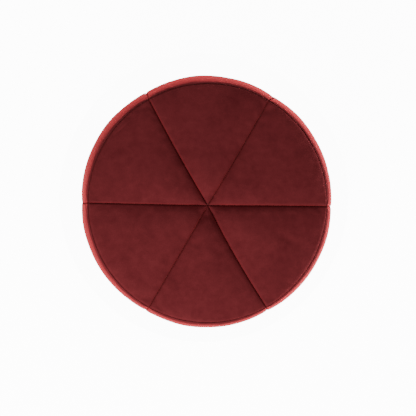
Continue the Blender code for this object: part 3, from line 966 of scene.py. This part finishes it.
sewn("top_thread_across", [topSeamRun(0), topSeamRun(3)])
for number, turn in ((1, 60), (2, 120), (4, 240), (5, 300)):
    sewn(f"top_thread_{turn}", [topSeamRun(number)])
sewn("top_rim_thread", [rimRun(pouf["topSeam"] - seamRuns["rimSink"], 1.0)])
sewn("base_rim_thread", [rimRun(pouf["baseSeam"] + seamRuns["baseSink"], -1.0)])
for number in range(6):
    sewn(f"side_thread_{number + 1}", [sideSeamRun(number)])
sewn("zip_stitching_back", [zipRun(1)], slant=0)
sewn("zip_stitching_front", [zipRun(-1)], slant=0)
print("stitches sewn")


zipLook = {
    "toothPitch": 0.0014,
    "wire": 0.00024,
    "reach": 0.0005,  # how far a tooth's head stands out
    "edgeWidth": 0.0016,  # of the tape's thicker edge
    "edgeSwell": 0.25,
    "wave": (0.00008, 0.046),
    "groove": (0.0007, 0.0003),  # of a stop: distance from its edges, and depth
}


def toothShape():
    # one turn of the coil: a ring drawn out towards the middle of the zip
    wire = zipLook["wire"]
    middle = (coilLow + coilHigh) / 2
    half = (coilHigh - coilLow) / 2 - Vector((wire, wire, wire))
    only()
    bpy.ops.mesh.primitive_circle_add(vertices=6, radius=wire, location=(0, middle.y + half.y, middle.z))
    ring = bpy.context.object
    settle(ring)
    edit(ring, "VERT")
    selectAll()
    bpy.ops.mesh.spin(steps=12, angle=2 * pi, center=(0, middle.y, middle.z), axis=(1, 0, 0))
    selectAll()
    bpy.ops.mesh.remove_doubles(threshold=0.00001)
    bpy.ops.mesh.normals_make_consistent(inside=False)
    done()
    spots = pointsOf(ring)
    fromMiddle = spots[:, 1:] - middle[1:]
    distance = np.linalg.norm(fromMiddle, axis=1, keepdims=True)
    direction = fromMiddle / distance
    spots[:, 1:] = direction * (half[1:] + (distance - half.y)) + middle[1:]  # the circle becomes an oval
    lead = np.arctan2(direction[:, 1], direction[:, 0]) / (2 * pi)
    spots[:, 0] += np.abs(lead) * zipLook["toothPitch"] * 0.5
    spots[:, 1] -= np.clip(-direction[:, 0], 0, 1) ** 2 * zipLook["reach"]
    movePoints(ring, spots)
    return ring


def zipCoils():
    tooth = toothShape()
    pitch = zipLook["toothPitch"]
    count = int((coilHigh.x - coilLow.x) / pitch) - 1
    for side, turn in (("back", 0.0), ("front", pi)):
        places = []
        for k in range(count):
            x = coilLow.x + pitch * (k + 0.5) + (pitch / 4 if turn else -pitch / 4)
            places.append(Matrix.Rotation(turn, 4, "Z") @ Matrix.Translation((x, 0, 0)))
        row = repeated(f"zip_coil_{side}_teeth", tooth, places)
        dress(row, "zip_coil", "pouf", f"zip_coil_{side}")
    bpy.data.objects.remove(tooth)


def block(name, low, high, cuts=0):
    # a cube set to a box, and cut across every way
    only()
    bpy.ops.mesh.primitive_cube_add(size=1, location=(Vector(low) + Vector(high)) / 2)
    thing = bpy.context.object
    thing.name = name
    thing.scale = Vector(high) - Vector(low)
    settle(thing)
    if cuts:
        edit(thing, "EDGE")
        selectAll()
        bpy.ops.mesh.subdivide(number_cuts=cuts)
        done()
    return thing


def zipTapes():
    for side, turn in (("back", 0.0), ("front", pi)):
        tape = block(f"zip_tape_{side}_woven", tapeLow, tapeHigh, cuts=7)
        spots = pointsOf(tape)
        inner = bell(spots[:, 1] - tapeLow.y, zipLook["edgeWidth"])
        middle = (tapeLow.z + tapeHigh.z) / 2
        spots[:, 2] = middle + (spots[:, 2] - middle) * (1 + zipLook["edgeSwell"] * inner)
        height, length = zipLook["wave"]
        spots[:, 2] += height * np.sin(spots[:, 0] * 2 * pi / length) * (1 - inner)
        movePoints(tape, spots)
        bevel(tape, 0.00012)
        writeUv(tape, *pointsOf(tape)[:, :2].T)
        tape.rotation_euler.z = turn
        settle(tape)
        smooth(tape, 40)
        dress(tape, "zip_tape", "pouf", f"zip_tape_{side}")


def zipStops():
    # bent clips round the coils, with rounded corners and a pressed groove
    for name in ("zip_top_stop_back", "zip_top_stop_front", "zip_bottom_stop"):
        low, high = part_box(name)
        clip = block(name + "_clip", low, high)
        edit(clip)
        selectFaces(clip, lambda middle, normal: normal.z < -0.5)
        bpy.ops.mesh.inset(thickness=zipLook["groove"][0], depth=0)
        extrude(0, 0, zipLook["groove"][1])
        done()
        bevel(clip, 0.0002, 3, 40)
        smooth(clip, 40)
        dress(clip, "zip_metal", "pouf", name)


slider = {
    "plate": 0.0010,
    "nose": 0.80,  # width at the narrow end, as a share of the wide end
    "corners": (0.0008, 0.0006),  # how far those of the nose and of the wide end are drawn back
    "flange": 0.0007,
    "post": (0.0022, 0.0007),
    "bridge": (0.0092, 0.0016, 0.0008),  # length, width and bar
    "pivotHeight": 0.0037,
    "aboveEye": 0.0009,  # room for the pull's eye under the lower plate
    "edge": 0.0002,
}


def ovalBar(size, height, place, corners):
    only()
    bpy.ops.mesh.primitive_cylinder_add(vertices=corners, radius=1, depth=height, location=place)
    bar = bpy.context.object
    bar.scale = (size[0] / 2, size[1] / 2, 1)
    settle(bar)
    return bar


def zipSlider():
    middle = (sliderLow + sliderHigh) / 2
    half = (sliderHigh.y - sliderLow.y) / 2
    bodyLow = slider["pivotHeight"] + slider["aboveEye"]
    plates = []
    for low, inwards in ((bodyLow, 1), (sliderHigh.z - slider["plate"], -1)):
        high = low + slider["plate"]
        plate = block("zip_slider_metal", (sliderLow.x, -half, low), (sliderHigh.x, half, high), cuts=3)
        spots = pointsOf(plate)
        towardsNose = np.clip((sliderHigh.x - spots[:, 0]) / (sliderHigh.x - sliderLow.x), 0, 1)
        spots[:, 1] *= 1 - (1 - slider["nose"]) * towardsNose**1.5
        corner = np.abs(spots[:, 1]) > half * 0.5
        noseCorner, wideCorner = slider["corners"]
        spots[corner & (towardsNose > 0.9), 0] += noseCorner
        spots[corner & (towardsNose < 0.1), 0] -= wideCorner
        movePoints(plate, spots)
        edit(plate)
        face = high if inwards > 0 else low
        selectFaces(plate, lambda spot, normal: abs(spot.z - face) < 0.0001 and abs(spot.y) > half * 0.55)
        extrude(0, 0, inwards * slider["flange"])
        done()
        spots = pointsOf(plate)
        lip = np.abs(spots[:, 2] - face - inwards * slider["flange"]) < 0.00005
        inner = lip & (np.abs(spots[:, 1]) < half * 0.6)
        spots[inner, 1] *= 1.25
        movePoints(plate, spots)
        bevel(plate, slider["edge"])
        plates.append(plate)
    post = ovalBar(
        slider["post"],
        sliderHigh.z - bodyLow - slider["plate"],
        (sliderHigh.x - slider["post"][0], 0, (sliderHigh.z + bodyLow) / 2),
        16,
    )
    length, width, bar = slider["bridge"]
    left, right, side = middle.x - length / 2, middle.x + length / 2, width / 2
    arch = block("arch", (left, -side, sliderLow.z), (right, side, sliderLow.z + bar))
    legLow, legHigh = sliderLow.z + bar * 0.3, bodyLow + slider["plate"] * 0.4
    for start in (left, right - bar):
        leg = block("leg", (start, -side, legLow), (start + bar, side, legHigh))
        combine(arch, "UNION", leg)
    bevel(arch, 0.00018)
    body = plates[0]
    combine(body, "UNION", plates[1], post, arch)
    body.name = "zip_slider_metal"
    smooth(body, 35)
    dress(body, "zip_metal", "zip_slider", "zip_slider")


pull = {
    "tilt": 6.5,
    "length": 0.025,
    "width": 0.0062,
    "thickness": 0.0011,
    "eye": (0.0050, 0.0028),
    "cutsAlong": (-1.2, -3.5, -5.2, -6.8, -8.5, -10.5, -15.0, -19.5, -22.5, -24.0),  # in millimetres
    "cutsAcross": (-0.72, -0.45, 0.45, 0.72),  # as shares of half the width
    "waist": (0.76, -0.0088, 0.0022),  # width as a share, place and reach
    "panel": (-0.0235, -0.0106, 0.0004),  # both ends, and distance from its edges
    "hollow": 0.0002,
}


def zipPull():
    # made flat along -X from its bar, then tilted to rest
    half, thin = pull["width"] / 2, pull["thickness"] / 2
    tab = block("zip_pull_metal", (-pull["length"], -half, -thin), (thin, half, thin))
    edit(tab, "EDGE")
    for x in pull["cutsAlong"]:
        selectAll()
        bpy.ops.mesh.bisect(plane_co=(x / 1000, 0, 0), plane_no=(1, 0, 0))
    for y in pull["cutsAcross"]:
        selectAll()
        bpy.ops.mesh.bisect(plane_co=(0, half * y, 0), plane_no=(0, 1, 0))
    done()
    spots = pointsOf(tab)
    x = spots[:, 0]
    width, place, reach = pull["waist"]
    waist = bell(x - place, reach) * (1 - width)
    tip = np.clip((-x - (pull["length"] - half)) / half, 0, 1)
    spots[:, 1] *= (1 - waist) * np.sqrt(1 - 0.72 * tip**2)
    movePoints(tab, spots)
    edit(tab)
    start, end, margin = pull["panel"]
    edge = half * pull["cutsAcross"][-1]
    for side in (1, -1):
        selectFaces(
            tab, lambda spot, normal: normal.z * side > 0.9 and start < spot.x < end and abs(spot.y) < edge
        )
        bpy.ops.mesh.inset(thickness=margin, depth=0)
        extrude(0, 0, -side * pull["hollow"])
    done()
    centre = np.array((-thin - pull["eye"][0] / 2, 0))
    cutter = ovalBar(pull["eye"], 0.01, (*centre, 0), 24)
    spots = pointsOf(cutter)
    reach = np.array(pull["eye"]) / 2
    shift = spots[:, :2] - centre
    spots[:, :2] = np.sign(shift) * np.abs(shift / reach) ** 0.6 * reach + centre  # squarer than an oval
    movePoints(cutter, spots)
    combine(tab, "DIFFERENCE", cutter)
    bevel(tab, 0.00018)
    tab.rotation_euler.y = -radians(pull["tilt"])
    tab.location = ((sliderLow.x + sliderHigh.x) / 2, 0, slider["pivotHeight"])
    settle(tab)
    smooth(tab, 35)
    dress(tab, "zip_metal", "zip_pull", "zip_pull")


zipTapes()
zipCoils()
zipStops()
zipSlider()
zipPull()
bpy.data.objects.remove(oneStitch)
print("zip made")


filling = {
    "sink": {"top": 0.0040, "middle": 0.0044, "middleWidth": 0.060, "side": 0.0016},  # below the plain solids
    "topFrom": 0.314,  # height and distance past which a face is an outer one
    "sideFrom": 0.2195,
    "blendOver": 0.006,
    "wadding": {"voxel": 0.005, "lumps": 0.0010, "lumpSize": 0.022},
    "foam": {"voxel": 0.007, "lumps": 0.0003, "lumpSize": 0.006},
    "calico": {"wrinkles": 0.00025, "wrinkleSize": 0.014},
}


def copyOf(name, suffix):
    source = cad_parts[name]
    data = source.data.copy()
    data.name = name + suffix
    thing = bpy.data.objects.new(name + suffix, data)
    bpy.context.collection.objects.link(thing)
    edit(thing, "VERT")
    selectAll()
    bpy.ops.mesh.remove_doubles(threshold=0.00001)
    done()
    return thing


def sunk(name, spots):
    # the outer faces drawn in from the cover
    sink = filling["sink"]
    away = np.hypot(spots[:, 0], spots[:, 1])
    if name.endswith("top"):
        high = np.clip((spots[:, 2] - filling["topFrom"]) / filling["blendOver"], 0, 1)
        spots[:, 2] -= high * (sink["top"] + sink["middle"] * bell(away, sink["middleWidth"]))
    elif name.endswith("side"):
        outer = np.clip((away - filling["sideFrom"]) / filling["blendOver"], 0, 1)
        spots[:, :2] *= (1 - outer * sink["side"] / away)[:, None]
    return spots


def softBlock(name, finish, look, seed):
    thing = copyOf(name, "_" + finish)
    apply(thing, "REMESH", mode="VOXEL", voxel_size=look["voxel"])
    apply(thing, "SMOOTH", factor=0.5, iterations=3)
    spots = sunk(name, pointsOf(thing))
    lumps = rough(spots, look["lumpSize"], seed)
    movePoints(thing, spots - pointsOf(thing, "normal") * (look["lumps"] * (0.5 + 0.5 * lumps))[:, None])
    smooth(thing)
    dress(thing, finish, "pouf", name)


def linerPiece(name, seed):
    look = filling["calico"]
    thing = copyOf(name, "_calico")
    subdivide(thing, "SIMPLE")
    spots = sunk(name, pointsOf(thing))
    if name == "liner_side":
        writeUv(thing, np.arctan2(spots[:, 1], spots[:, 0]) * pouf["seamRadius"], spots[:, 2])
    else:
        writeUv(thing, spots[:, 0], spots[:, 1])
    spots[:, 2] += look["wrinkles"] * rough(spots, look["wrinkleSize"], seed)
    movePoints(thing, spots)
    smooth(thing, 40)
    dress(thing, "calico", "pouf", name)


for seed, name in enumerate(("wadding_top", "wadding_side", "wadding_base")):
    softBlock(name, "wadding", filling["wadding"], 51 + seed)
softBlock("foam_core", "foam", filling["foam"], 61)
for seed, name in enumerate(("liner_top", "liner_side", "liner_base")):
    linerPiece(name, 71 + seed)
for name, finish in (("centre_tie_cord", "tie_cord"), ("tie_washer", "washer")):
    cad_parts[name].data.materials.clear()
    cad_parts[name].data.materials.append(finishes[finish])
print("filling made")


stage = {
    "floor": 14.0,
    "hole": 0.30,
    "floorColour": (0.86, 0.86, 0.86),
    "floorGlow": 12.0,
    "world": 0.48,
    "worldSeen": 12.0,  # by the camera alone
    "lit": (0, 0, 0.25),  # where every light points
}

lights = {  # place, width, height and strength; the low ones light the wall and not the top
    "key": ((-0.64, -1.56, 1.38), 0.8, 0.8, 44.0),
    "lowRight": ((1.59, -0.14, 0.12), 1.6, 0.2, 40.0),
    "lowBack": ((0.0, 1.60, 0.12), 1.6, 0.2, 11.0),
    "lowLeft": ((-1.60, 0.0, 0.12), 1.6, 0.2, 3.0),
    "under": ((0.30, -0.50, -1.40), 1.0, 1.0, 18.0),
}

shot = {
    "height": 4.20,  # above the top seam
    "over": (-0.100, 0.145),
    "aim": (0.0005, -0.0087),
    "lens": 189.1,
}


def pointAt(thing, spot, up=(0, 0, 1)):
    back = (thing.location - Vector(spot)).normalized()
    side = Vector(up).cross(back).normalized()
    thing.rotation_mode = "QUATERNION"
    thing.rotation_quaternion = Matrix((side, back.cross(side), back)).transposed().to_quaternion()


def makeFloor():
    # open under the pouf, so the underside is lit when it is looked at from below
    only()
    bpy.ops.mesh.primitive_circle_add(vertices=96, radius=stage["hole"])
    floor = bpy.context.object
    floor.name = "floor"
    edit(floor, "EDGE")
    selectAll()
    extrude(0, 0, 0)
    bpy.ops.transform.resize(value=(stage["floor"] / stage["hole"],) * 2 + (1,))
    done()
    if floor.data.polygons[0].normal.z < 0:
        floor.data.flip_normals()
    finish, tree, shader = newFinish(
        "floor", Base_Color=(*stage["floorColour"], 1), Roughness=0.9, Emission_Color=(1, 1, 1, 1)
    )
    seen = node(tree, "LightPath").outputs["Is Camera Ray"]
    tree.links.new(calc(tree, "MULTIPLY", seen, stage["floorGlow"]), shader.inputs["Emission Strength"])
    clear = node(tree, "BsdfTransparent")
    under = node(tree, "NewGeometry").outputs["Backfacing"]
    either = node(tree, "MixShader", {0: under, 1: shader.outputs[0], 2: clear.outputs[0]})
    tree.links.new(either.outputs[0], tree.nodes["Material Output"].inputs["Surface"])
    floor.data.materials.append(finish)


def makeWorld():
    world = bpy.data.worlds.new("studio")
    bpy.context.scene.world = world
    world.use_nodes = True
    tree = world.node_tree
    seen = node(tree, "LightPath").outputs["Is Camera Ray"]
    brightness = calc(tree, "MULTIPLY_ADD", seen, stage["worldSeen"] - stage["world"], stage["world"])
    tree.links.new(brightness, tree.nodes["Background"].inputs["Strength"])
    tree.nodes["Background"].inputs["Color"].default_value = (1, 1, 1, 1)


def makeLights():
    for name, (spot, width, height, strength) in lights.items():
        only()
        bpy.ops.object.light_add(type="AREA", location=spot)
        lamp = bpy.context.object
        lamp.name = name
        lamp.data.shape = "ELLIPSE"
        lamp.data.size, lamp.data.size_y = width, height
        lamp.data.energy = strength
        lamp.visible_camera = False
        pointAt(lamp, stage["lit"])


def makeCamera():
    plane = pouf["topSeam"] + wedge["rimRise"]
    only()
    bpy.ops.object.camera_add(location=(*shot["over"], plane + shot["height"]))
    camera = bpy.context.object
    camera.name = "camera"
    camera.data.lens = shot["lens"]
    camera.data.sensor_width = 36.0
    camera.data.clip_start, camera.data.clip_end = 0.05, 60.0
    pointAt(camera, (*shot["aim"], plane), up=(0, 1, 0))
    bpy.context.scene.camera = camera


makeFloor()
makeWorld()
makeLights()
makeCamera()
print("stage set")
